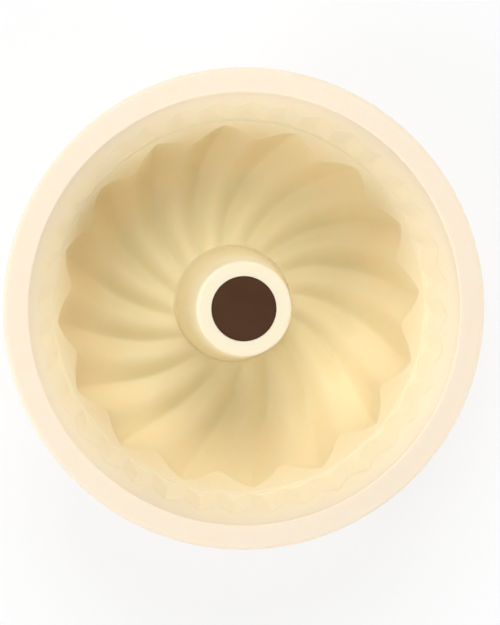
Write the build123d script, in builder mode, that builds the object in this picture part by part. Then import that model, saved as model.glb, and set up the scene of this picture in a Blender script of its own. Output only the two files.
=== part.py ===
"""Brioche mould: a ring-shaped silicone baking mould with swirling flutes, a faceted band and a centre tube.

Millimetres, +Z up. The origin is the centre of the plane that the mould stands on.
Places inside the mould are given as depths below the rim's top face.
"""

import os
from math import cos, pi, radians, sin, tan

from build123d import *

# Rim and wall
rim_outer_radius = 120.0
rim_flat_width = 12.6
rim_thickness = 6.5
rim_edge_fillet = 2.4
rim_lip_fillet = 1.2
rim_root_fillet = 3.0
skin = 2.2
lip_depth = 2.2
lip_set_in = 0.2
wall_draft = 22.5

# Bowl with its star and swirl
cavity_depth = 90.0
flute_count = 16
bowl_half_width = 27.5
bowl_shoulder_depth = 44.0
floor_rise = 10.0
valley_swell = 3.2
ridge_swell = 3.1
swell_fade_power = 0.4
swirl_angle = 28.0
first_valley_angle = 4.5
foot_flat_depth = 0.7

# Where the bowl's guiding lines stand: points along one flute, rings down the wall, the flank and the floor
wave_shares = (0, 0.25, 0.5, 0.75, 1)
wall_ring_shares = (0.55, 0.8)
bowl_leans = (0, 15, 30, 45, 60, 75, 90)
floor_shares = (0.3, 0.6, 0.85, 1)

# Centre tube
tube_top_depth = 12.0
tube_top_radius = 23.9
tube_draft = 5.2
tube_foot_ring = 0.9
tube_foot_fillet = 0.7
tube_top_fillet = 2.0
tube_roof_thickness = 3.6

# Faceted band
facet_count = 36
first_facet_angle = 7.6
facet_top_depth = 11.8
facet_ledge_drop = 2.6
facet_shoulder_depth = 18.3
facet_ramp_depth = 26.3
facet_base_depth = 30.4
facet_recess = 1.6
facet_foot_recess = 0.65
facet_overlap_angle = 0.08
bead_depth = 31.5
bead_radius = 0.75
collar_end_depth = 33.0
collar_step_drop = 3.0

# Plug in the tube's mouth
plug_head_radius = 16.25
plug_head_thickness = 1.4
plug_recess = 0.3
plug_shank_radius = 13.0
plug_shank_length = 9.0
plug_shank_taper = 4.0
plug_wall = 2.4
plug_edge_fillet = 0.4
fit_clearance = 0.15

# Steel hoop moulded into the rim
hoop_wire_radius = 1.5
hoop_clearance = 0.05

# How far a cutting shape runs on past what it cuts
overrun = 20.0

# Sizes that follow from the ones above
rim_inner_radius = rim_outer_radius - rim_flat_width
hoop_radius = (rim_inner_radius + rim_outer_radius) / 2
flute_pitch = 360 / flute_count
facet_pitch = 360 / facet_count


def wall_radius(depth, thickness=0):
    """Radius of the smooth wall: its inner face, or a face the given thickness outside it."""
    lip_radius = rim_inner_radius - lip_set_in
    return lip_radius - tan(radians(wall_draft)) * (depth - lip_depth) + thickness / cos(radians(wall_draft))


def tube_radius(depth, thickness=0):
    """Radius of the centre tube: its outer face, or a face the given thickness inside it."""
    return tube_top_radius + tan(radians(tube_draft)) * (depth - tube_top_depth) - thickness / cos(radians(tube_draft))


# The bowl hangs from the wall at its shoulder, and its floor rises to a flat ring at the tube's foot
bowl_half_depth = cavity_depth - bowl_shoulder_depth
bowl_wall_radius = wall_radius(bowl_shoulder_depth)
bowl_floor_radius = bowl_wall_radius - bowl_half_width
tube_foot_depth = cavity_depth - floor_rise
tube_foot_radius = tube_radius(tube_foot_depth)
ring_radius = tube_foot_radius + tube_foot_ring
bowl_reach = bowl_wall_radius - ring_radius
floor_run = bowl_floor_radius - ring_radius


def fade(radius):
    """Share of the flutes' full swell at a radius: all of it at the wall, none at the tube."""
    return max((radius - ring_radius) / bowl_reach, 0) ** swell_fade_power


overall_height = cavity_depth + valley_swell * fade(bowl_floor_radius) + skin - foot_flat_depth


def level(depth):
    """Height above the base of a depth below the rim."""
    return overall_height - depth


def place(radius, angle, depth):
    """Point at a radius, an angle round the axis and a depth below the rim."""
    return Vector(radius * cos(radians(angle)), radius * sin(radians(angle)), level(depth))


def flute_ring(radius, depth, lean, thickness=0):
    """Closed wavy line round the axis, with a sharp valley between each two ridges.

    The waves swell along lean, which is 0 for outward and 90 for straight down. Their ridges are
    pointed at lean 0 and round at 90. The line is turned by its radius, so a row of them swirls.
    """
    turn = first_valley_angle + swirl_angle * (bowl_wall_radius - radius) / bowl_reach

    def wave_point(flutes):
        pointed_share = 1 - abs(1 - 2 * (flutes % 1))
        round_share = sin(pi * (flutes % 1))
        ridge_share = pointed_share + (round_share - pointed_share) * lean / 90
        swell = thickness + fade(radius) * (valley_swell - (valley_swell + ridge_swell) * ridge_share)
        swollen_radius = radius + swell * cos(radians(lean))
        return place(swollen_radius, turn + flute_pitch * flutes, depth + swell * sin(radians(lean)))

    with BuildLine() as line:
        for flute in range(flute_count):
            Spline([wave_point(flute + share) for share in wave_shares])
    return Wire(line.edges())


def bowl_solid(thickness=0):
    """Everything inside the fluted bowl, from above the star's notches to the tube's foot."""
    rings = [flute_ring(bowl_wall_radius, bowl_shoulder_depth * share, 0, thickness) for share in wall_ring_shares]
    for lean in bowl_leans:
        radius = bowl_floor_radius + bowl_half_width * cos(radians(lean))
        depth = bowl_shoulder_depth + bowl_half_depth * sin(radians(lean))
        rings.append(flute_ring(radius, depth, lean, thickness))
    for share in floor_shares:
        radius = bowl_floor_radius - floor_run * share
        depth = cavity_depth - floor_rise * share**2
        rings.append(flute_ring(radius, depth, 90, thickness))
    return Solid.make_loft(rings)


# The plain wall's cone ends inside the bowl, where the bowl's flank is already well outside it
cone_end_depth = (bowl_shoulder_depth + cavity_depth) / 2 - skin

# Hollow that the batter fills
with BuildPart() as cavity:
    with BuildSketch(Plane.XZ):
        with BuildLine():
            Polyline(
                (0, level(-overrun)),
                (rim_inner_radius, level(-overrun)),
                (rim_inner_radius, level(0)),
                (rim_inner_radius - lip_set_in, level(lip_depth)),
                (wall_radius(cone_end_depth), level(cone_end_depth)),
                (0, level(cone_end_depth)),
                close=True,
            )
        make_face()
    revolve(axis=Axis.Z)
    add(bowl_solid())
    with BuildSketch(Plane.XZ):
        with BuildLine():
            Polyline(
                (0, level(tube_top_depth)),
                (tube_top_radius, level(tube_top_depth)),
                (tube_foot_radius, level(tube_foot_depth)),
                (tube_foot_radius, level(tube_foot_depth) - overrun),
                (0, level(tube_foot_depth) - overrun),
                close=True,
            )
        make_face()
    revolve(axis=Axis.Z, mode=Mode.SUBTRACT)

# One house-shaped hollow of the faceted band: two slanting faces that meet in a fold, and a ramp below
# that ends on a small ledge
half_facet = facet_pitch / 2 + facet_overlap_angle
recess_scale = 1 + facet_recess / wall_radius(facet_ramp_depth)
ledge_depth = facet_top_depth + facet_ledge_drop
left_shoulder = place(wall_radius(facet_shoulder_depth), -half_facet, facet_shoulder_depth)
right_shoulder = place(wall_radius(facet_shoulder_depth), half_facet, facet_shoulder_depth)
left_foot = place(wall_radius(collar_end_depth), -half_facet, collar_end_depth)
right_foot = place(wall_radius(collar_end_depth), half_facet, collar_end_depth)
peak = place(wall_radius(facet_top_depth), 0, facet_top_depth)
fold_top = place(wall_radius(ledge_depth) * recess_scale, 0, ledge_depth)
fold_foot = place(wall_radius(collar_end_depth) * recess_scale, 0, collar_end_depth)
hub = place(wall_radius(facet_ramp_depth) - overrun, 0, facet_ramp_depth)
facet_outlines = (
    (left_shoulder, peak, fold_top),
    (peak, right_shoulder, fold_top),
    (left_shoulder, fold_top, fold_foot, left_foot),
    (fold_top, right_shoulder, right_foot, fold_foot),
    (left_foot, fold_foot, right_foot),
    (left_shoulder, hub, peak),
    (peak, hub, right_shoulder),
    (right_shoulder, hub, right_foot),
    (right_foot, hub, left_foot),
    (left_foot, hub, left_shoulder),
)
facet_faces = [Face(Wire.make_polygon(outline)) for outline in facet_outlines]
ramp_foot = Vector(wall_radius(facet_base_depth) + facet_foot_recess, level(facet_base_depth))
ramp_top = Vector(wall_radius(facet_ramp_depth) * recess_scale, level(facet_ramp_depth))
ramp_end = ramp_top + (ramp_top - ramp_foot)

with BuildPart() as facet_hollow:
    add(Solid(Shell(facet_faces)))
    with BuildSketch(Plane.XZ):
        with BuildLine():
            Polyline(
                (ramp_foot.X - overrun, level(0)),
                (ramp_foot.X - overrun, ramp_foot.Y),
                (ramp_foot.X, ramp_foot.Y),
                (ramp_end.X, ramp_end.Y),
                (ramp_end.X + overrun, level(0)),
                close=True,
            )
        make_face()
    revolve(axis=Axis.Z, mode=Mode.INTERSECT)

# Silicone shell
with BuildPart() as mould_body:
    collar_skin = skin + facet_recess
    collar_step_depth = collar_end_depth + collar_step_drop
    root_corner = (wall_radius(rim_thickness, collar_skin), level(rim_thickness))
    with BuildSketch(Plane.XZ) as outside:
        with BuildLine():
            Polyline(
                (0, level(0)),
                (rim_outer_radius, level(0)),
                (rim_outer_radius, level(rim_thickness)),
                root_corner,
                (wall_radius(collar_end_depth, collar_skin), level(collar_end_depth)),
                (wall_radius(collar_step_depth, skin), level(collar_step_depth)),
                (wall_radius(cone_end_depth, skin), level(cone_end_depth)),
                (0, level(cone_end_depth)),
                close=True,
            )
        make_face()
        rim_corners = outside.vertices().group_by(Axis.X)[-1]
        fillet(rim_corners, rim_edge_fillet)
        rim_root = outside.vertices().sort_by_distance(root_corner)[0]
        fillet(rim_root, rim_root_fillet)
    revolve(axis=Axis.Z)
    add(bowl_solid(skin))
    split(bisect_by=Plane.XY, keep=Keep.TOP)
    add(cavity.part, mode=Mode.SUBTRACT)

    # Round the rim's inner lip, the tube's top edge and its foot
    circles = mould_body.edges().filter_by(GeomType.CIRCLE)
    fillet(circles.filter_by_position(Axis.Z, level(0), level(0)).sort_by(SortBy.RADIUS)[0], rim_lip_fillet)
    circles = mould_body.edges().filter_by(GeomType.CIRCLE)
    tube_top_level = level(tube_top_depth)
    fillet(circles.filter_by_position(Axis.Z, tube_top_level, tube_top_level), tube_top_fillet)
    circles = mould_body.edges().filter_by(GeomType.CIRCLE)
    tube_foot_level = level(tube_foot_depth)
    fillet(circles.filter_by_position(Axis.Z, tube_foot_level, tube_foot_level), tube_foot_fillet)

    # Open the tube from below, and seat the plug in its roof
    with BuildSketch(Plane.XZ):
        with BuildLine():
            roof_depth = tube_top_depth + tube_roof_thickness
            mouth_depth = tube_foot_depth + skin
            Polyline(
                (0, level(roof_depth)),
                (tube_radius(roof_depth, skin), level(roof_depth)),
                (tube_radius(mouth_depth, skin), level(mouth_depth)),
                (tube_radius(mouth_depth, skin), level(mouth_depth) - overrun),
                (0, level(mouth_depth) - overrun),
                close=True,
            )
        make_face()
    revolve(axis=Axis.Z, mode=Mode.SUBTRACT)
    with Locations((0, 0, tube_top_level)):
        CounterBoreHole(
            radius=plug_shank_radius + fit_clearance,
            counter_bore_radius=plug_head_radius + fit_clearance,
            counter_bore_depth=plug_head_thickness + plug_recess,
            depth=tube_roof_thickness + skin,
        )

    # Faceted band with the bead line under it
    with PolarLocations(0, facet_count, start_angle=first_facet_angle):
        add(facet_hollow.part, mode=Mode.SUBTRACT)
    with BuildSketch(Plane.XZ):
        with Locations((wall_radius(bead_depth), level(bead_depth))):
            Circle(bead_radius)
    revolve(axis=Axis.Z, mode=Mode.SUBTRACT)

    # Channel that the hoop fills
    with BuildSketch(Plane.XZ):
        with Locations((hoop_radius, level(rim_thickness / 2))):
            Circle(hoop_wire_radius + hoop_clearance)
    revolve(axis=Axis.Z, mode=Mode.SUBTRACT)

# Steel hoop that keeps the rim round
with BuildPart() as rim_hoop:
    with BuildSketch(Plane.XZ):
        with Locations((hoop_radius, level(rim_thickness / 2))):
            Circle(hoop_wire_radius)
    revolve(axis=Axis.Z)

# Plug that closes the tube's mouth
with BuildPart() as tube_plug:
    plug_top = tube_top_level - plug_recess
    head_underside = plug_top - plug_head_thickness
    shank_end = head_underside - plug_shank_length
    shank_end_radius = plug_shank_radius - tan(radians(plug_shank_taper)) * plug_shank_length
    with BuildSketch(Plane.XZ) as plug_profile:
        with BuildLine():
            Polyline(
                (0, plug_top),
                (plug_head_radius, plug_top),
                (plug_head_radius, head_underside),
                (plug_shank_radius, head_underside),
                (shank_end_radius, shank_end),
                (shank_end_radius - plug_wall, shank_end),
                (plug_shank_radius - plug_wall, plug_top - plug_wall),
                (0, plug_top - plug_wall),
                close=True,
            )
        make_face()
        fillet(plug_profile.vertices().group_by(Axis.X)[-1].sort_by(Axis.Y)[-1], plug_edge_fillet)
    revolve(axis=Axis.Z)

mould_body.part.label = "mould_body"
rim_hoop.part.label = "rim_hoop"
tube_plug.part.label = "tube_plug"

os.makedirs("parts", exist_ok=True)
export_step(mould_body.part, "parts/mould_body.step")
export_step(rim_hoop.part, "parts/rim_hoop.step")
export_step(tube_plug.part, "parts/tube_plug.step")
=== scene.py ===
"""Brioche mould: finished surfaces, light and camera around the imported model. Metres, +Z up."""

from math import cos, pi, radians, sin, tan

import bpy
from mathutils import Matrix, Vector


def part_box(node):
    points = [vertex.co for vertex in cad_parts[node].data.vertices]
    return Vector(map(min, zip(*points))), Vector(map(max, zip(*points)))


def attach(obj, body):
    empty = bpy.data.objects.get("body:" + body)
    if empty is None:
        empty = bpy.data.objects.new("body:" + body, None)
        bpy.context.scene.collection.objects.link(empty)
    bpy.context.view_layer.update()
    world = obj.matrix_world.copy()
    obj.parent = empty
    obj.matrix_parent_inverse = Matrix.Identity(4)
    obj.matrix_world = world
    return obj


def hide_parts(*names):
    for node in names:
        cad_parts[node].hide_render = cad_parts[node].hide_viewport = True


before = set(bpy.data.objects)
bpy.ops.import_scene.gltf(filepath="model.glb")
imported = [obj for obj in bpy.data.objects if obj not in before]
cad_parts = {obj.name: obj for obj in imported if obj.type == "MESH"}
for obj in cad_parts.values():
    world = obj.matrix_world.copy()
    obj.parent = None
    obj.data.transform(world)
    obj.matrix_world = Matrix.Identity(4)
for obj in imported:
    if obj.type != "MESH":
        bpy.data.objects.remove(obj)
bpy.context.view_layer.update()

mm = 0.001

# The mould's outside sizes come from the imported mould body's bounds.
# Places inside it are depths below the rim's top face
rim_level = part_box("mould_body")[1].z
rim_outer_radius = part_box("mould_body")[1].x
rim_flat_width = 12.6 * mm
rim_inner_radius = rim_outer_radius - rim_flat_width
rim_thickness = 6.5 * mm
skin = 2.2 * mm
lip_depth = 2.2 * mm
lip_set_in = 0.2 * mm
lip_radius = rim_inner_radius - lip_set_in
wall_draft = radians(22.5)

# Bowl with its star and swirl.
# Its valleys soften towards the floor, and the net's columns gather at them
cavity_depth = 90.0 * mm
flute_count = 16
bowl_half_width = 27.5 * mm
bowl_shoulder_depth = 44.0 * mm
floor_rise = 10.0 * mm
valley_swell = 3.2 * mm
ridge_swell = 3.1 * mm
swell_fade_power = 0.4
valley_softness = 0.24
valley_gather = 1.35
swirl_angle = radians(28)
first_valley_angle = radians(4.5)

# Centre tube, with the bore and the seat of its plug
tube_top_depth = 12.0 * mm
tube_top_radius = 23.9 * mm
tube_draft = radians(5.2)
tube_foot_ring = 0.9 * mm
tube_roof_thickness = 3.6 * mm
roof_depth = tube_top_depth + tube_roof_thickness
seat_drop = 1.7 * mm
seat_depth = tube_top_depth + seat_drop
seat_radius = 16.4 * mm
bore_radius = 13.15 * mm

# Faceted band, and the bead line and the collar under it
facet_count = 36
first_facet_angle = radians(7.6)
facet_top_depth = 11.8 * mm
facet_ledge_depth = 14.4 * mm
facet_shoulder_depth = 18.3 * mm
facet_ramp_depth = 26.3 * mm
facet_base_depth = 30.4 * mm
facet_recess = 1.6 * mm
facet_foot_recess = 0.65 * mm
bead_depth = 31.5 * mm
bead_radius = 0.75 * mm
collar_end_depth = 33.0 * mm
collar_step_depth = 36.0 * mm

# Plug
plug_recess = 0.3 * mm
plug_top_depth = tube_top_depth + plug_recess
plug_head_radius = 16.25 * mm
plug_shank_radius = 13.0 * mm
plug_shank_length = 9.0 * mm
plug_end_depth = seat_depth + plug_shank_length
plug_end_radius = 12.37 * mm
plug_wall = 2.4 * mm

# Roundings of the profiles' corners
rim_round = 2.4 * mm
lip_round = 1.2 * mm
root_round = 3.0 * mm
tube_top_round = 2.0 * mm
soft_round = 0.6 * mm
fine_round = 0.25 * mm
seat_round = 0.1 * mm

# How fine the surfaces are: columns round the mould, and rows down the bowl's flank and over
# its floor, which gather near the star's edge
columns_per_flute = 27
column_count = flute_count * columns_per_flute
inside_flank_rows, inside_floor_rows, inside_gather = 34, 20, 1.4
outside_flank_rows, outside_floor_rows, outside_gather = 20, 11, 1.3
bead_rows = 8
plug_segments = 160
guard_distance = 0.25 * mm


def wall_radius(depth, thickness=0.0):
    """Radius of the plain wall's inner face, or of a face the given thickness outside it."""
    return lip_radius - tan(wall_draft) * (depth - lip_depth) + thickness / cos(wall_draft)


def tube_radius(depth, thickness=0.0):
    """Radius of the centre tube's outer face, or of a face the given thickness inside it."""
    level_thickness = thickness / cos(tube_draft)
    return tube_top_radius + tan(tube_draft) * (depth - tube_top_depth) - level_thickness


bowl_half_depth = cavity_depth - bowl_shoulder_depth
bowl_wall_radius = wall_radius(bowl_shoulder_depth)
bowl_floor_radius = bowl_wall_radius - bowl_half_width
tube_foot_depth = cavity_depth - floor_rise
ring_radius = tube_radius(tube_foot_depth) + tube_foot_ring


def round_corner(before, corner, after, radius, steps):
    """Points of the arc that rounds a profile's corner, with a guard point at each side of it.

    The guards keep the rounding's shade from spreading over the flat beside it.
    """
    back = (before - corner).normalized()
    ahead = (after - corner).normalized()
    half_angle = back.angle(ahead) / 2
    reach = radius / tan(half_angle)
    centre = corner + (back + ahead).normalized() * (radius / sin(half_angle))
    first = (corner + back * reach - centre).normalized()
    last = (corner + ahead * reach - centre).normalized()
    arc = [centre + first.slerp(last, step / steps) * radius for step in range(steps + 1)]
    guard = reach + guard_distance
    return [corner + back * guard, *arc, corner + ahead * guard]


def rounded_profile(corners):
    """Points of a profile through corners of (radius, depth, rounding, steps of the rounding).

    Its two ends stay as they are.
    """
    spots = [Vector(corner[:2]) for corner in corners]
    points = [spots[0]]
    for index in range(1, len(corners) - 1):
        points += round_corner(*spots[index - 1 : index + 2], *corners[index][2:])
    return points + [spots[-1]]


def spread(count, start, end, gather=1.0):
    """Evenly spread shares from start to end, or shares that gather near start."""
    return [start + (end - start) * (step / count) ** gather for step in range(count + 1)]


class Field:
    """A number at each point of a surface, worked out by the Math nodes of a node tree."""

    def __init__(self, socket):
        self.socket = socket

    def work_out(self, operation, *values):
        nodes = self.socket.node.id_data.nodes
        node = nodes.new("ShaderNodeMath")
        node.operation = operation
        for entry, value in zip(node.inputs, values):
            feed(entry, value)
        return Field(node.outputs["Value"])

    def __add__(self, other):
        return self.work_out("ADD", self, other)

    def __radd__(self, other):
        return self.work_out("ADD", other, self)

    def __sub__(self, other):
        return self.work_out("SUBTRACT", self, other)

    def __rsub__(self, other):
        return self.work_out("SUBTRACT", other, self)

    def __mul__(self, other):
        return self.work_out("MULTIPLY", self, other)

    def __truediv__(self, other):
        return self.work_out("DIVIDE", self, other)

    def __rtruediv__(self, other):
        return self.work_out("DIVIDE", other, self)

    def __pow__(self, other):
        return self.work_out("POWER", self, other)

    def __abs__(self):
        return self.work_out("ABSOLUTE", self)

    def sign(self):
        return self.work_out("SIGN", self)

    def floor(self):
        return self.work_out("FLOOR", self)

    def round(self):
        return self.work_out("ROUND", self)

    def sin(self):
        return self.work_out("SINE", self)

    def cos(self):
        return self.work_out("COSINE", self)

    def asin(self):
        return self.work_out("ARCSINE", self)

    def at_least(self, other):
        return self.work_out("MAXIMUM", self, other)

    def at_most(self, other):
        return self.work_out("MINIMUM", self, other)

    def share(self):
        return self.at_least(0).at_most(1)

    def towards(self, other, share):
        return self + (other - self) * share


def feed(entry, value):
    """Link a field to a node's socket, or set a plain value on it."""
    if isinstance(value, Field):
        entry.id_data.links.new(value.socket, entry)
    else:
        entry.default_value = value


# The kinds of row in the mould's net: the same all round, or shaped by the facets,
# by the star's edge or by the flutes
PLAIN, FACETS, WALL, BOWL = range(4)

# What the net keeps at each point, for the node tree to read
row_labels = ("kind", "row_radius", "row_depth", "share", "thickness", "turn")
net_labels = ("column", *row_labels)


# Shares of the way down each band of the facets, and down the wall from the bead to the star's edge
band_shares = (
    (0, 0.35, 0.7, 0.96),
    (0, 0.15, 0.5, 0.85),
    (0, 0.05, 0.25, 0.5, 0.75, 0.95),
    (0, 0.07, 0.35, 0.65, 0.93),
    (0, 0.5),
    (0,),
)
wall_shares = (0, 0.3, 0.6, 0.85, 0.95, 0.985)
outer_wall_shares = (0.3, 0.7, 0.93)
wall_start = bead_depth + bead_radius + guard_distance


def net_rows():
    """Rows of the mould's net as (kind, radius, depth, share, thickness, turn).

    They go once round its section: up from the bowl's floor inside, over the rim, down outside
    and up the tube.
    """

    def plain(points, turn=0):
        return [(PLAIN, point.x, point.y, 0, 0, turn) for point in points]

    inside_shares = spread(inside_flank_rows, 0, 1, inside_gather)[:-1]
    inside_shares += spread(inside_floor_rows, 1, 2)
    bowl_inside = [(BOWL, 0, 0, share, 0, 0) for share in inside_shares]
    start_radius = wall_radius(wall_start)
    wall_inside = [(WALL, start_radius, wall_start, share, 0, 0) for share in wall_shares]
    bead = []
    for lean in spread(bead_rows, pi / 2 + wall_draft, wall_draft - pi / 2):
        outward, down = bead_radius * cos(lean), bead_radius * sin(lean)
        bead.append(Vector((wall_radius(bead_depth) + outward, bead_depth + down)))
    facets = []
    for band, shares in enumerate(band_shares):
        facets += [(FACETS, 0, 0, band + share, 0, 0) for share in shares]

    collar_skin = skin + facet_recess
    rim = rounded_profile(
        [
            (lip_radius, lip_depth - fine_round, 0, 0),
            (rim_inner_radius, 0, lip_round, 6),
            (rim_outer_radius, 0, rim_round, 7),
            (rim_outer_radius, rim_thickness, rim_round, 7),
            (wall_radius(rim_thickness, collar_skin), rim_thickness, root_round, 5),
            (wall_radius(collar_end_depth, collar_skin), collar_end_depth, soft_round, 3),
            (wall_radius(collar_step_depth, skin), collar_step_depth, 0, 0),
        ]
    )

    step_radius = wall_radius(collar_step_depth, skin)
    wall_outside = []
    for share in outer_wall_shares:
        wall_outside.append((WALL, step_radius, collar_step_depth, share, skin, 0))
    outside_shares = spread(outside_flank_rows, 0, 1, outside_gather)[:-1]
    outside_shares += spread(outside_floor_rows, 1, 2)
    bowl_outside = [(BOWL, 0, 0, share, skin, 0) for share in outside_shares]

    mouth_depth = tube_foot_depth + skin
    foot_radius = tube_radius(tube_foot_depth)
    tube = rounded_profile(
        [
            (ring_radius - fine_round, mouth_depth, 0, 0),
            (tube_radius(mouth_depth, skin), mouth_depth, soft_round, 3),
            (tube_radius(roof_depth, skin), roof_depth, soft_round, 3),
            (bore_radius, roof_depth, fine_round, 2),
            (bore_radius, seat_depth, fine_round, 2),
            (seat_radius, seat_depth, seat_round, 1),
            (seat_radius, tube_top_depth, fine_round, 3),
            (tube_top_radius, tube_top_depth, tube_top_round, 7),
            (foot_radius, tube_foot_depth, soft_round, 3),
            (ring_radius - fine_round / 2, tube_foot_depth, 0, 0),
        ]
    )
    return (
        list(reversed(bowl_inside))
        + list(reversed(wall_inside))
        + plain(bead)
        + list(reversed(facets))
        + plain(rim)
        + wall_outside
        + bowl_outside
        + plain(tube, turn=1)
    )


def net_mesh(rows):
    """Closed net of square faces, with each row's values kept at its points."""
    row_count = len(rows)
    faces = []
    for row in range(row_count):
        for column in range(column_count):
            here = row * column_count + column
            beside = row * column_count + (column + 1) % column_count
            up = (row + 1) % row_count * column_count - row * column_count
            faces.append((here, beside, beside + up, here + up))
    mesh = bpy.data.meshes.new("mould_net")
    mesh.from_pydata([(0, 0, 0)] * (row_count * column_count), [], faces)
    columns = list(range(column_count)) * row_count
    mesh.attributes.new("column", "FLOAT", "POINT").data.foreach_set("value", columns)
    for label, values in zip(row_labels, zip(*rows)):
        spread_out = [value for value in values for column in range(column_count)]
        mesh.attributes.new(label, "FLOAT", "POINT").data.foreach_set("value", spread_out)
    return mesh


def finish_tree(tree, geometry, material):
    """End a tree with smooth shading, real geometry and its material."""
    smooth = tree.nodes.new("GeometryNodeSetShadeSmooth")
    real = tree.nodes.new("GeometryNodeRealizeInstances")
    finish = tree.nodes.new("GeometryNodeSetMaterial")
    finish.inputs["Material"].default_value = material
    leave = tree.nodes.new("NodeGroupOutput")
    tree.links.new(geometry, smooth.inputs["Geometry"])
    tree.links.new(smooth.outputs["Geometry"], real.inputs["Geometry"])
    tree.links.new(real.outputs["Geometry"], finish.inputs["Geometry"])
    tree.links.new(finish.outputs["Geometry"], leave.inputs[0])


surface_sizes = {
    "Rim Level": rim_level,
    "Lip Radius": lip_radius,
    "Lip Depth": lip_depth,
    "Wall Slope": tan(wall_draft),
    "Facets": facet_count,
    "First Fold": first_facet_angle,
    "Facet Top": facet_top_depth,
    "Facet Ledge": facet_ledge_depth,
    "Facet Shoulder": facet_shoulder_depth,
    "Facet Ramp": facet_ramp_depth,
    "Facet Base": facet_base_depth,
    "Facet End": facet_base_depth + seat_round,
    "Facet Recess": facet_recess / wall_radius(facet_ramp_depth),
    "Facet Foot": facet_foot_recess / facet_recess,
    "Bead Top": bead_depth - bead_radius,
    "Flutes": flute_count,
    "First Valley": first_valley_angle,
    "Valley Swell": valley_swell,
    "Ridge Swell": ridge_swell,
    "Valley Gather": valley_gather,
    "Valley Softness": valley_softness,
    "Swell Fade": swell_fade_power,
    "Swirl": swirl_angle,
    "Bowl Wall Radius": bowl_wall_radius,
    "Bowl Half Width": bowl_half_width,
    "Shoulder Depth": bowl_shoulder_depth,
    "Bowl Half Depth": bowl_half_depth,
    "Floor Rise": floor_rise,
    "Floor Run": bowl_floor_radius - ring_radius,
    "Ring Radius": ring_radius,
    "Bowl Reach": bowl_wall_radius - ring_radius,
}
edge_steps = 5
easing_passes = 1


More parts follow.
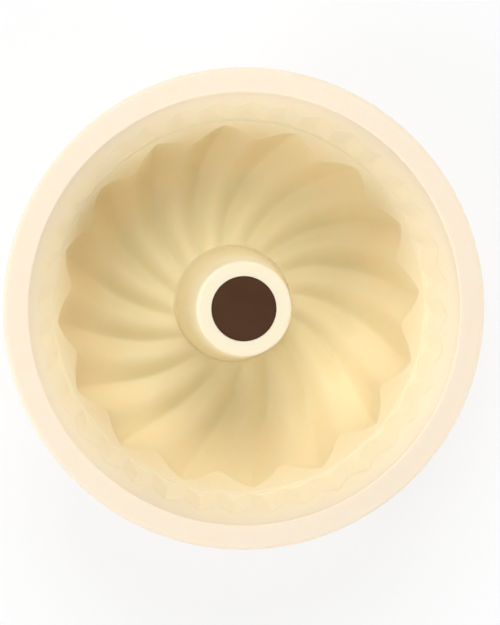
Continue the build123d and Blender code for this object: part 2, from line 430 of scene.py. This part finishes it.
def mould_surface(material):
    """Node tree that bends the net into the mould, by the sizes that are its named inputs."""
    tree = bpy.data.node_groups.new("mould_surface", "GeometryNodeTree")
    tree.interface.new_socket("Net", in_out="INPUT", socket_type="NodeSocketGeometry")
    tree.interface.new_socket("Surface", in_out="OUTPUT", socket_type="NodeSocketGeometry")
    for label, value in surface_sizes.items():
        named = tree.interface.new_socket(label, in_out="INPUT", socket_type="NodeSocketFloat")
        named.default_value = value
    entry = tree.nodes.new("NodeGroupInput")
    size = {label: Field(entry.outputs[label]) for label in surface_sizes}

    def kept(label):
        node = tree.nodes.new("GeometryNodeInputNamedAttribute")
        node.data_type = "FLOAT"
        node.inputs["Name"].default_value = label
        return Field(node.outputs["Attribute"])

    def by_kind(plain, facets, wall, bowl):
        node = tree.nodes.new("GeometryNodeIndexSwitch")
        node.data_type = "FLOAT"
        while len(node.index_switch_items) < 4:
            node.index_switch_items.new()
        for socket, value in zip(node.inputs, (kept("kind"), plain, facets, wall, bowl)):
            feed(socket, value)
        return Field(node.outputs["Output"])

    def cone_radius(depth):
        return size["Lip Radius"] - size["Wall Slope"] * (depth - size["Lip Depth"])

    column, share, thickness = kept("column"), kept("share"), kept("thickness")
    even_angle = size["First Valley"] + column * (2 * pi / column_count)

    # Columns gather at the sharp lines: the folds between facets, and the valleys between flutes
    facet = (even_angle - size["First Fold"]) * size["Facets"] / (2 * pi)
    nearest_fold = facet.round()
    past_fold = (facet - nearest_fold) * 2
    across = (1 - (abs(past_fold) * pi).cos()) / 2
    folds = nearest_fold + past_fold.sign() * across / 2
    folded_angle = size["First Fold"] + folds * (2 * pi) / size["Facets"]
    flute = column / columns_per_flute
    valley = flute.floor()
    past_ridge = (flute - valley) * 2 - 1
    gathered = past_ridge.sign() * (1 - (1 - abs(past_ridge)) ** size["Valley Gather"])
    valleys = valley + 0.5 + gathered / 2
    gathered_angle = size["First Valley"] + valleys * (2 * pi) / size["Flutes"]

    # Facets: each guide line has a depth, a share of the full recess and a flatness across it
    slant = 1 - across
    foot = slant.at_most(size["Facet Foot"])
    ramp_across = (across / (1 - size["Facet Foot"])).at_most(1)
    guides = (
        (size["Lip Depth"], 0, 0),
        (size["Facet Top"].towards(size["Facet Shoulder"], across), 0, 0),
        (size["Facet Ledge"].towards(size["Facet Shoulder"], across), slant, 1),
        (size["Facet Ramp"].towards(size["Facet Base"], ramp_across), slant, 1),
        (size["Facet Base"], foot, 0),
        (size["Facet End"], 0, 0),
        (size["Bead Top"], 0, 0),
    )
    facet_depth, recess, flatness = guides[0]
    for index in range(1, len(guides)):
        step = (share - (index - 1)).share()
        ahead, behind = guides[index], guides[index - 1]
        facet_depth = facet_depth + (ahead[0] - behind[0]) * step
        recess = step * (ahead[1] - behind[1]) + recess
        flatness = step * (ahead[2] - behind[2]) + flatness
    bulge = flatness * across * slant * ((pi / size["Facets"]) ** 2 / 2)
    facet_radius = cone_radius(facet_depth) * (1 + size["Facet Recess"] * recess) * (1 - bulge)
    within_bands = share.share() * (len(guides) - 1 - share).share()
    facet_angle = even_angle.towards(folded_angle, within_bands)

    # The flutes' wave has pointed valleys, made of two cubic curves, that turn to soft ones
    def wave(angle, roundness):
        flute = (angle - size["First Valley"]) * size["Flutes"] / (2 * pi)
        up_flank = 1 - abs((flute - flute.floor()) * 2 - 1)
        pointed = (up_flank * 6 + up_flank**3 * 4 - (up_flank - 0.5).at_least(0) ** 3 * 24) / 7
        soft = size["Valley Softness"]
        softened = ((up_flank * (pi / 2)).sin() ** 2 + soft**2) ** 0.5 - soft
        rounded = softened / ((1 + soft**2) ** 0.5 - soft)
        ridge_share = pointed.towards(rounded, roundness)
        return size["Valley Swell"] - (size["Valley Swell"] + size["Ridge Swell"]) * ridge_share

    # The star's edge, where the wall meets the fluted bowl, is closed in on step by step
    swell = thickness + wave(gathered_angle, 0)
    wall_offset = thickness * (1 / cos(wall_draft))

    def wall_depth_at(radius):
        return size["Lip Depth"] + (size["Lip Radius"] + wall_offset - radius) / size["Wall Slope"]

    edge_radius = size["Bowl Wall Radius"] + swell
    for closing_step in range(edge_steps):
        past_shoulder = wall_depth_at(edge_radius) - size["Shoulder Depth"]
        edge_lean = (past_shoulder / (size["Bowl Half Depth"] + swell)).at_least(0).asin()
        pulled_in = size["Bowl Half Width"] * (1 - edge_lean.cos())
        edge_radius = size["Bowl Wall Radius"] + swell * edge_lean.cos() - pulled_in
    edge_depth = wall_depth_at(edge_radius)
    wall_radius_here = kept("row_radius").towards(edge_radius, share)
    wall_depth = kept("row_depth").towards(edge_depth, share)
    wall_angle = even_angle.towards(gathered_angle, share)

    # The bowl: down its flank by lean, then in over its floor. Its flutes swell along the lean
    edge_rise = (past_shoulder / size["Bowl Half Depth"]).at_most(0)
    lean = (edge_rise + edge_lean).towards(pi / 2, share.share())
    above_shoulder = lean.at_most(0)
    lean = lean.at_least(0)
    run = (share - 1).at_least(0)
    pulled_in = size["Bowl Half Width"] * (1 - lean.cos())
    base_radius = size["Bowl Wall Radius"] - pulled_in - size["Floor Run"] * run
    reach_share = ((base_radius - size["Ring Radius"]) / size["Bowl Reach"]).share()
    bowl_angle = even_angle.towards(gathered_angle, (reach_share * 2).share())
    swell = thickness + wave(bowl_angle, lean * (2 / pi)) * reach_share ** size["Swell Fade"]
    bowl_radius = base_radius + swell * lean.cos()
    flank_depth = size["Shoulder Depth"] + size["Bowl Half Depth"] * (lean.sin() + above_shoulder)
    bowl_depth = flank_depth - size["Floor Rise"] * run * run + swell * lean.sin()
    bowl_depth = bowl_depth.at_most(size["Rim Level"])
    bowl_turn = size["Swirl"] * (1 - reach_share)

    radius = by_kind(kept("row_radius"), facet_radius, wall_radius_here, bowl_radius)
    depth = by_kind(kept("row_depth"), facet_depth, wall_depth, bowl_depth)
    plain_angle = even_angle + size["Swirl"] * kept("turn")
    angle = by_kind(plain_angle, facet_angle, wall_angle, bowl_angle + bowl_turn)

    place = tree.nodes.new("ShaderNodeCombineXYZ")
    position = (radius * angle.cos(), radius * angle.sin(), size["Rim Level"] - depth)
    for socket, value in zip(place.inputs, position):
        feed(socket, value)
    bend = tree.nodes.new("GeometryNodeSetPosition")
    tree.links.new(entry.outputs["Net"], bend.inputs["Geometry"])
    tree.links.new(place.outputs["Vector"], bend.inputs["Position"])

    # Ease the folds and edges as a moulded part has them, but keep the plain roundings as they are
    where = tree.nodes.new("GeometryNodeInputPosition")
    ease = tree.nodes.new("GeometryNodeBlurAttribute")
    ease.data_type = "FLOAT_VECTOR"
    ease.inputs["Iterations"].default_value = easing_passes
    tree.links.new(where.outputs["Position"], ease.inputs["Value"])
    feed(ease.inputs["Weight"], kept("kind").share())
    settle = tree.nodes.new("GeometryNodeSetPosition")
    tree.links.new(bend.outputs["Geometry"], settle.inputs["Geometry"])
    tree.links.new(ease.outputs["Value"], settle.inputs["Position"])

    finish_tree(tree, settle.outputs["Geometry"], material)
    return tree


def made_by_tree(name, mesh, tree):
    """Plain mesh object that a node tree makes from a starting mesh."""
    starting = bpy.data.objects.new(name + "_start", mesh)
    bpy.context.scene.collection.objects.link(starting)
    surface = starting.modifiers.new("surface", "NODES")
    surface.node_group = tree
    for item in tree.interface.items_tree:
        if item.in_out == "INPUT" and item.socket_type == "NodeSocketFloat":
            surface[item.identifier] = item.default_value
    evaluated = starting.evaluated_get(bpy.context.evaluated_depsgraph_get())
    made = bpy.data.meshes.new_from_object(evaluated)
    made.name = name
    for label in [attribute.name for attribute in made.attributes if attribute.name in net_labels]:
        made.attributes.remove(made.attributes[label])
    starting.modifiers.remove(surface)
    bpy.data.objects.remove(starting)
    piece = bpy.data.objects.new(name, made)
    bpy.context.scene.collection.objects.link(piece)
    return piece


def turned_piece(name, profile, segments, material):
    """Closed turned piece from a profile of (radius, depth) that starts and ends on the axis."""
    inner = profile[1:-1]
    points = []
    for spot in inner:
        for segment in range(segments):
            angle = 2 * pi * segment / segments
            points.append((spot.x * cos(angle), spot.x * sin(angle), rim_level - spot.y))
    first_pole, last_pole = len(points), len(points) + 1
    points += [(0, 0, rim_level - profile[0].y), (0, 0, rim_level - profile[-1].y)]
    faces = []
    for segment in range(segments):
        following = (segment + 1) % segments
        faces.append((first_pole, segment, following))
        for ring in range(len(inner) - 1):
            upper, lower = ring * segments, (ring + 1) * segments
            faces.append((upper + segment, lower + segment, lower + following, upper + following))
        last_ring = (len(inner) - 1) * segments
        faces.append((last_pole, last_ring + following, last_ring + segment))
    mesh = bpy.data.meshes.new(name)
    mesh.from_pydata(points, [], faces)
    mesh.shade_smooth()
    mesh.materials.append(material)
    piece = bpy.data.objects.new(name, mesh)
    bpy.context.scene.collection.objects.link(piece)
    return piece


class Finish:
    """A material that is built up node by node."""

    def __init__(self, name):
        self.material = bpy.data.materials.new(name)
        self.material.use_nodes = True
        self.nodes = self.material.node_tree.nodes
        self.links = self.material.node_tree.links
        self.nodes.clear()
        self.coordinates = self.nodes.new("ShaderNodeTexCoord").outputs["Object"]
        self.leave = self.nodes.new("ShaderNodeOutputMaterial")

    def node(self, kind, settings=None, **links):
        """Add a node, set its plain settings and link or set its sockets."""
        node = self.nodes.new(kind)
        for label, value in (settings or {}).items():
            if label in node.inputs:
                node.inputs[label].default_value = value
            else:
                setattr(node, label, value)
        for label, source in links.items():
            self.links.new(source, node.inputs[label.replace("_", " ")])
        return node

    def noise(self, scale, detail=2.0):
        """Noise in the piece's own space, its scale in waves to a metre."""
        settings = {"Scale": scale, "Detail": detail}
        return self.node("ShaderNodeTexNoise", settings, Vector=self.coordinates).outputs["Fac"]

    def ranged(self, value, low, high, from_low=0.0, from_high=1.0):
        settings = {"From Min": from_low, "From Max": from_high, "To Min": low, "To Max": high}
        return self.node("ShaderNodeMapRange", settings, Value=value).outputs["Result"]

    def ramp(self, value, stops):
        """Colour along a value: stops are (place, colour)."""
        node = self.node("ShaderNodeValToRGB", Fac=value)
        while len(node.color_ramp.elements) < len(stops):
            node.color_ramp.elements.new(0.5)
        for element, (place, colour) in zip(node.color_ramp.elements, stops):
            element.position = place
            element.color = (*colour, 1)
        return node.outputs["Color"]

    def scaled(self, colour, brightness):
        """Colour multiplied by a brightness near 1."""
        node = self.node("ShaderNodeVectorMath", {"operation": "SCALE"})
        self.links.new(colour, node.inputs[0])
        self.links.new(brightness, node.inputs["Scale"])
        return node.outputs["Vector"]

    def bump(self, *heights):
        """Fine relief: heights are (value, distance in metres), the coarser first."""
        normal = None
        for value, distance in heights:
            settings = {"Distance": distance, "Strength": relief_strength}
            node = self.node("ShaderNodeBump", settings, Height=value)
            if normal:
                self.links.new(normal, node.inputs["Normal"])
            normal = node.outputs["Normal"]
        return normal

    def shader(self, settings, **links):
        """End in a Principled shader with constant settings on its own sockets."""
        node = self.node("ShaderNodeBsdfPrincipled", settings, **links)
        self.links.new(node.outputs["BSDF"], self.leave.inputs["Surface"])
        return self.material


def cream_silicone():
    """Satin cream silicone with painted shade: its colour turns deeper and more saturated towards
    the floor, standing in for the shade and bounced light deep in the bowl.
    """
    finish = Finish("cream_silicone")
    split = finish.node("ShaderNodeSeparateXYZ", Vector=finish.coordinates)
    # Painted shade: the cream turns deeper and more saturated lower down, by height alone
    height = finish.ranged(split.outputs["Z"], 0, 1, 0, rim_level)
    colour = finish.ramp(height, silicone_depth_shade_stops)
    mottle = finish.ranged(finish.noise(silicone_mottle_scale, 3), *silicone_mottle)
    tone = finish.scaled(colour, mottle)
    grain = finish.noise(silicone_grain_scale)
    ripple = finish.noise(silicone_ripple_scale)
    roughness = finish.ranged(finish.noise(silicone_gloss_scale), *silicone_roughness)
    normal = finish.bump((ripple, silicone_ripple_relief), (grain, fine_relief))
    settings = {
        "Subsurface Weight": 0.6,
        "Subsurface Radius": (1.0, 0.7, 0.4),
        "Subsurface Scale": glow_depth,
        "IOR": silicone_ior,
        "Specular IOR Level": 0.35,
    }
    return finish.shader(settings, Base_Color=tone, Roughness=roughness, Normal=normal)


def brown_silicone():
    """Dark brown silicone with a fine, even grain."""
    finish = Finish("brown_silicone")
    colour = finish.ramp(finish.noise(brown_tone_scale, 3), brown_stops)
    roughness = finish.ranged(finish.noise(brown_gloss_scale), *brown_roughness)
    ripple = finish.noise(brown_ripple_scale)
    grain = finish.noise(brown_grain_scale)
    normal = finish.bump((ripple, brown_ripple_relief), (grain, fine_relief))
    settings = {"IOR": silicone_ior, "Specular IOR Level": 0.12}
    return finish.shader(settings, Base_Color=colour, Roughness=roughness, Normal=normal)


def hoop_steel():
    """Drawn steel wire, with fine marks along it and a slight change of tone."""
    finish = Finish("hoop_steel")
    split = finish.node("ShaderNodeSeparateXYZ", Vector=finish.coordinates)
    settings = {"Scale": steel_mark_scale, "noise_dimensions": "1D"}
    marks = finish.node("ShaderNodeTexNoise", settings, W=split.outputs["Z"])
    colour = finish.ramp(finish.noise(steel_tone_scale, 3), steel_stops)
    roughness = finish.ranged(marks.outputs["Fac"], *steel_roughness)
    normal = finish.bump((marks.outputs["Fac"], steel_mark_relief))
    return finish.shader({"Metallic": 1.0}, Base_Color=colour, Roughness=roughness, Normal=normal)


# Finishes. Noise scales are in waves to a metre, and roughness goes from the least to the most
relief_strength = 0.5
fine_relief = 0.008 * mm
silicone_ior = 1.41
glow_depth = 2.5 * mm
silicone_mottle_scale, silicone_mottle = 18, (0.985, 1.01)
silicone_gloss_scale, silicone_roughness = 420, (0.42, 0.54)
silicone_ripple_scale, silicone_ripple_relief = 240, 0.02 * mm
silicone_grain_scale = 2600
brown_tone_scale = 60
brown_gloss_scale, brown_roughness = 500, (0.55, 0.68)
brown_ripple_scale, brown_ripple_relief = 300, 0.015 * mm
brown_grain_scale = 3000
steel_tone_scale = 90
steel_mark_scale, steel_mark_relief = 9000.0, 0.004 * mm
steel_roughness = (0.24, 0.4)

# Colours as (place along the ramp, colour). The cream silicone's go up from the floor to the rim,
# and are painted shade: deeper and more saturated low down, as the deep bowl's shade and bounced
# light, and paler near the rim where the light falls full
silicone_depth_shade_stops = (
    (0.0, (0.88, 0.765, 0.49)),
    (0.5, (0.89, 0.775, 0.52)),
    (0.68, (0.92, 0.82, 0.59)),
    (0.9, (0.93, 0.83, 0.64)),
    (1.0, (0.905, 0.79, 0.64)),
)
brown_stops = ((0.3, (0.062, 0.027, 0.012)), (0.7, (0.072, 0.032, 0.015)))
steel_stops = ((0.3, (0.52, 0.51, 0.5)), (0.7, (0.6, 0.59, 0.57)))

# Pieces
shell = made_by_tree("mould_shell", net_mesh(net_rows()), mould_surface(cream_silicone()))
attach(shell, "mould")
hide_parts("mould_body")

plug_profile = rounded_profile(
    [
        (0, plug_top_depth, 0, 0),
        (plug_head_radius, plug_top_depth, fine_round, 4),
        (plug_head_radius, seat_depth, seat_round, 2),
        (plug_shank_radius, seat_depth, seat_round, 2),
        (plug_end_radius, plug_end_depth, fine_round, 4),
        (plug_end_radius - plug_wall, plug_end_depth, fine_round, 4),
        (plug_shank_radius - plug_wall, plug_top_depth + plug_wall, soft_round, 4),
        (0, plug_top_depth + plug_wall, 0, 0),
    ]
)
plug = turned_piece("plug_cap", plug_profile, plug_segments, brown_silicone())
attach(plug, "plug")
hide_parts("tube_plug")

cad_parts["rim_hoop"].data.materials.clear()
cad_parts["rim_hoop"].data.materials.append(hoop_steel())


def seen_white(material_tree, surface, share):
    """Mix a white glow over a surface, for what the camera, gloss and glass see of it alone."""
    nodes, links = material_tree.nodes, material_tree.links
    path = nodes.new("ShaderNodeLightPath")
    seen = Field(path.outputs["Is Camera Ray"]).at_least(Field(path.outputs["Is Glossy Ray"]))
    seen = seen.at_least(Field(path.outputs["Is Transmission Ray"])) * share
    for_world = surface.node.type == "BACKGROUND"
    glow = nodes.new("ShaderNodeBackground" if for_world else "ShaderNodeEmission")
    mix = nodes.new("ShaderNodeMixShader")
    links.new(seen.socket, mix.inputs["Fac"])
    links.new(surface, mix.inputs[1])
    links.new(glow.outputs[0], mix.inputs[2])
    glow.inputs["Color"].default_value = (1, 1, 1, 1)
    glow.inputs["Strength"].default_value = 1
    return mix.outputs["Shader"]


# Pale floor that the camera sees as nearly white, with the mould's soft shadow on it
floor_size = 6.0
floor_colour = (0.9, 0.9, 0.91, 1)
floor_glow_share = 0.7
floor_mesh = bpy.data.meshes.new("floor")
half = floor_size / 2
floor_corners = [(-half, -half, 0), (half, -half, 0), (half, half, 0), (-half, half, 0)]
floor_mesh.from_pydata(floor_corners, [], [(0, 1, 2, 3)])
floor = bpy.data.objects.new("floor", floor_mesh)
bpy.context.scene.collection.objects.link(floor)
floor_finish = Finish("floor_white")
floor_surface = floor_finish.node("ShaderNodeBsdfDiffuse", {"Color": floor_colour}).outputs["BSDF"]
floor_seen = seen_white(floor_finish.material.node_tree, floor_surface, floor_glow_share)
floor_finish.links.new(floor_seen, floor_finish.leave.inputs["Surface"])
floor_mesh.materials.append(floor_finish.material)

# Soft light from all round, and large lamps mainly from the picture's top and left
sky_strength = 0.34
world = bpy.data.worlds.new("studio")
bpy.context.scene.world = world
world.use_nodes = True
world.node_tree.nodes.clear()
sky = world.node_tree.nodes.new("ShaderNodeBackground")
sky.inputs["Color"].default_value = (1, 1, 1, 1)
sky.inputs["Strength"].default_value = sky_strength
world_leave = world.node_tree.nodes.new("ShaderNodeOutputWorld")
world_seen = seen_white(world.node_tree, sky.outputs["Background"], 1.0)
world.node_tree.links.new(world_seen, world_leave.inputs["Surface"])

# Lamps as (name, degrees round from +X, degrees above the rim's plane, size, energy)
lamps = (
    ("key_lamp", 95, 48, 1.2, 17.6),
    ("left_lamp", 200, 48, 1.0, 7.0),
    ("left_low_lamp", 215, 15, 0.7, 8.8),
    ("right_low_lamp", 328, 14, 0.6, 11.0),
)
lamp_distance = 1.7
for lamp_name, turn_degrees, height_degrees, lamp_size, energy in lamps:
    lamp = bpy.data.lights.new(lamp_name, "AREA")
    lamp.shape = "DISK"
    lamp.size = lamp_size
    lamp.energy = energy
    lamp_object = bpy.data.objects.new(lamp_name, lamp)
    bpy.context.scene.collection.objects.link(lamp_object)
    turn, height = radians(turn_degrees), radians(height_degrees)
    lamp_direction = Vector((cos(turn) * cos(height), sin(turn) * cos(height), sin(height)))
    lamp_object.location = Vector((0, 0, rim_level)) + lamp_direction * lamp_distance
    lamp_object.rotation_euler = lamp_direction.to_track_quat("Z", "Y").to_euler()

# Camera nearly straight above, leaning as the photograph's does, with the picture's top towards +Y
camera_height = 1.15
camera_lens = 134.25
camera_sensor_width = 36
camera_place = Vector((-0.103, 0.045, rim_level + camera_height))
camera_target = Vector((0.0019, -0.0014, rim_level))
camera_back = (camera_place - camera_target).normalized()
camera_right = Vector((0, 1, 0)).cross(camera_back).normalized()
camera_up = camera_back.cross(camera_right)
camera = bpy.data.objects.new("camera", bpy.data.cameras.new("camera"))
camera.matrix_world = Matrix((camera_right, camera_up, camera_back)).transposed().to_4x4()
camera.matrix_world.translation = camera_place
camera.data.sensor_width = camera_sensor_width
camera.data.lens = camera_lens
bpy.context.scene.collection.objects.link(camera)
bpy.context.scene.camera = camera
bpy.context.scene.view_settings.view_transform = "Standard"
